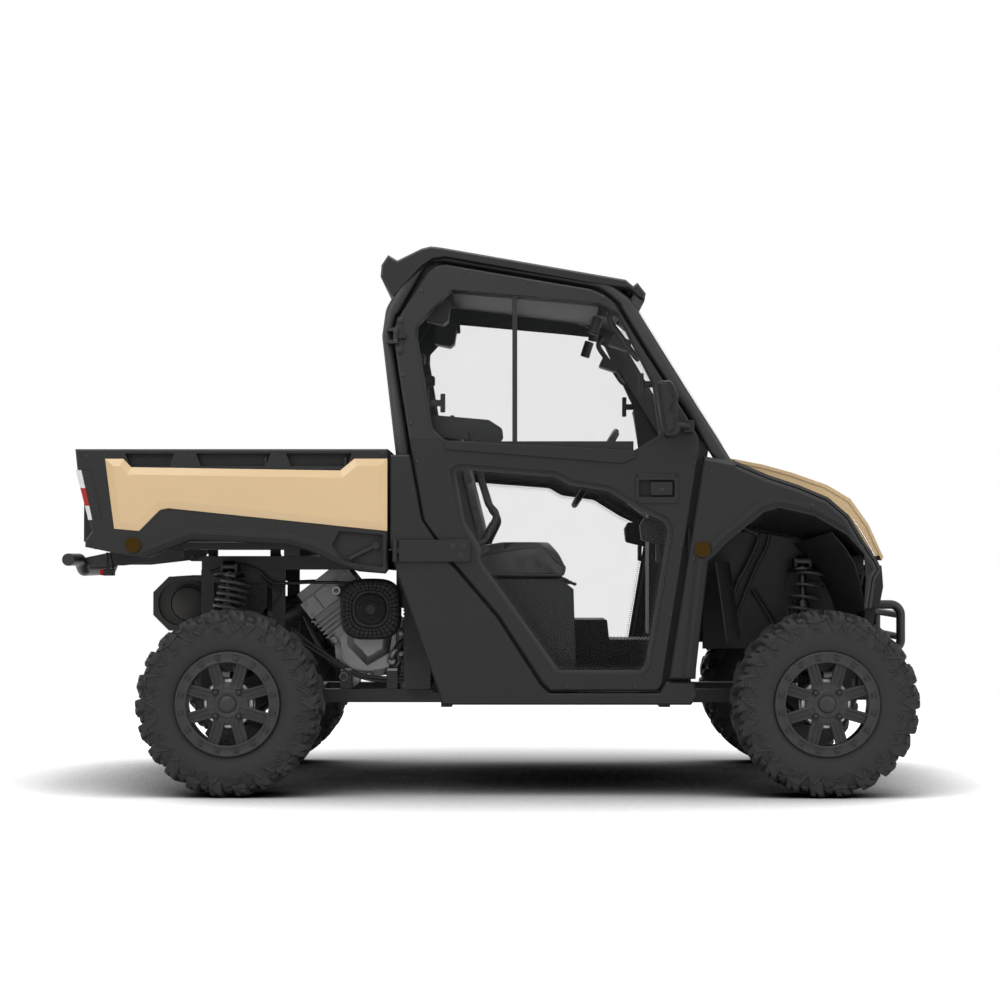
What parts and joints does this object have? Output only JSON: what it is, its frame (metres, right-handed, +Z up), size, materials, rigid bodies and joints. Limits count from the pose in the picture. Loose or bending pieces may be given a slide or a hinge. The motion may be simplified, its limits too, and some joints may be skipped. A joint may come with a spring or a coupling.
{
  "type": "side by side utility vehicle",
  "caption": "Two-seat side by side utility vehicle with a closed cab, rear-hinged doors, tipping cargo bed, open engine bay, lugged tyres and tan panels over black mouldings",
  "frame": {"origin": "on the ground under the middle of the bounding box", "axes": "+X forward, +Y to the vehicle's left, +Z up"},
  "size_m": [3.1623, 1.7, 2.0185],
  "materials": {
    "moulded_black": "moulded, fine grain",
    "frame_black": "satin powder coat",
    "tyre_rubber": "dusty matt rubber",
    "rim_black": "satin black",
    "tan_panel": "satin tan",
    "clear_glass": "clear",
    "cast_aluminium": "as cast",
    "black_metal": "heat proof black",
    "seat_vinyl": "grained vinyl",
    "lamp_clear": "clear lens",
    "amber_lens": "dark amber",
    "spring_black": "gloss black",
    "steel_grey": "zinc plated"
  },
  "bodies": {
    "root": {"main_frame": "frame_black", "upper_frame": "frame_black", "suspension_arms": "frame_black", "dampers": "steel_grey", "springs": "spring_black", "rear_knuckles": "frame_black", "drive_units": "black_metal", "floor_pan": "moulded_black", "cab_cage": "frame_black", "roof": "moulded_black", "windshield": "clear_glass", "rear_wall": "moulded_black", "rear_window": "clear_glass", "side_panels": "moulded_black", "dashboard": "moulded_black", "front_fenders": "moulded_black", "front_fascia": "moulded_black", "headlamps": "lamp_clear", "front_bumper": "frame_black", "engine": "cast_aluminium", "fan_cover": "black_metal", "muffler": "black_metal", "exhaust_pipe": "black_metal", "seat_base": "moulded_black", "seat_cushions": "seat_vinyl", "seat_backs": "seat_vinyl", "seat_guards": "frame_black", "steering_column": "moulded_black", "fender_markers": "amber_lens"},
    "knuckle_left": {"knuckle_front_left": "frame_black"},
    "knuckle_right": {"knuckle_front_right": "frame_black"},
    "rack": {"steering_rack": "steel_grey"},
    "wheel_front_left": {"tyre_front_left": "tyre_rubber", "rim_front_left": "rim_black"},
    "wheel_front_right": {"tyre_front_right": "tyre_rubber", "rim_front_right": "rim_black"},
    "wheel_rear_left": {"tyre_rear_left": "tyre_rubber", "rim_rear_left": "rim_black"},
    "wheel_rear_right": {"tyre_rear_right": "tyre_rubber", "rim_rear_right": "rim_black"},
    "handwheel": {"steering_wheel": "moulded_black"},
    "door_left_body": {"door_left": "moulded_black", "door_glass_left": "clear_glass", "mirror_left": "moulded_black"},
    "door_right_body": {"door_right": "moulded_black", "door_glass_right": "clear_glass", "mirror_right": "moulded_black"},
    "bed": {"bed_tub": "moulded_black", "bed_sides": "moulded_black", "bed_inserts": "tan_panel", "tail_lamps": "lamp_clear", "rear_bumper": "frame_black", "bed_markers": "amber_lens"},
    "gate": {"tailgate": "moulded_black"},
    "hood_body": {"hood": "tan_panel"},
    "strut_barrel_body": {"strut_barrel": "black_metal"},
    "strut_rod_body": {"strut_rod": "steel_grey"}
  },
  "joints": [
    {"name": "steer_left", "type": "hinge", "parent": "root", "child": "knuckle_left", "pos_m": [1.2245, 0.605, 0.338], "axis": [0, 0, 1], "range_deg": [-25, 25]},
    {"name": "steer_right", "type": "hinge", "parent": "root", "child": "knuckle_right", "pos_m": [1.2245, -0.605, 0.338], "axis": [0, 0, 1], "range_deg": [-25, 25]},
    {"name": "rack_slide", "type": "slide", "parent": "root", "child": "rack", "axis": [0, -1, 0], "range_m": [-0.0418, 0.0418]},
    {"name": "handwheel_turn", "type": "hinge", "parent": "root", "child": "handwheel", "pos_m": [0.42958, 0.35, 1.23142], "axis": [-0.8712, 0, 0.4909], "range_deg": [-226, 226]},
    {"name": "spin_front_left", "type": "hinge", "parent": "knuckle_left", "child": "wheel_front_left", "pos_m": [1.2245, 0.7, 0.338], "axis": [0, 1, 0], "continuous": true},
    {"name": "spin_front_right", "type": "hinge", "parent": "knuckle_right", "child": "wheel_front_right", "pos_m": [1.2245, -0.7, 0.338], "axis": [0, 1, 0], "continuous": true},
    {"name": "spin_rear_left", "type": "hinge", "parent": "root", "child": "wheel_rear_left", "pos_m": [-0.9385, 0.6775, 0.338], "axis": [0, 1, 0], "continuous": true},
    {"name": "spin_rear_right", "type": "hinge", "parent": "root", "child": "wheel_rear_right", "pos_m": [-0.9385, -0.6775, 0.338], "axis": [0, 1, 0], "continuous": true},
    {"name": "door_left_swing", "type": "hinge", "parent": "root", "child": "door_left_body", "pos_m": [-0.337, 0.749, 0.89116], "axis": [0, -0.0743, 0.9972], "range_deg": [0, 78]},
    {"name": "door_right_swing", "type": "hinge", "parent": "root", "child": "door_right_body", "pos_m": [-0.337, -0.749, 0.89116], "axis": [0, -0.0743, -0.9972], "range_deg": [0, 78]},
    {"name": "bed_tilt", "type": "hinge", "parent": "root", "child": "bed", "pos_m": [-1.131, 0, 0.87], "axis": [0, -1, 0], "range_deg": [0, 38]},
    {"name": "gate_drop", "type": "hinge", "parent": "bed", "child": "gate", "pos_m": [-1.46474, 0, 0.909], "axis": [0, -1, 0], "range_deg": [0, 90]},
    {"name": "hood_lift", "type": "hinge", "parent": "root", "child": "hood_body", "pos_m": [0.91078, 0, 1.22541], "axis": [0, -1, 0], "range_deg": [0, 50]},
    {"name": "strut_pivot", "type": "hinge", "parent": "root", "child": "strut_barrel_body", "pos_m": [-0.9385, -0.235, 0.64], "axis": [0, -1, 0], "range_deg": [0, 20.36]},
    {"name": "strut_slide", "type": "slide", "parent": "strut_barrel_body", "child": "strut_rod_body", "axis": [0.4571, 0, 0.8894], "range_m": [0, 0.16638]}
  ],
  "couplings": [
    {"joint": "steer_right", "follows": "steer_left", "ratio": 1},
    {"joint": "rack_slide", "follows": "steer_left", "m_per_rad": 0.0955},
    {"joint": "handwheel_turn", "follows": "steer_left", "ratio": 9},
    {"joint": "strut_pivot", "follows": "bed_tilt", "ratio": 0.53066},
    {"joint": "strut_slide", "follows": "bed_tilt", "m_per_rad": 0.25011}
  ]
}
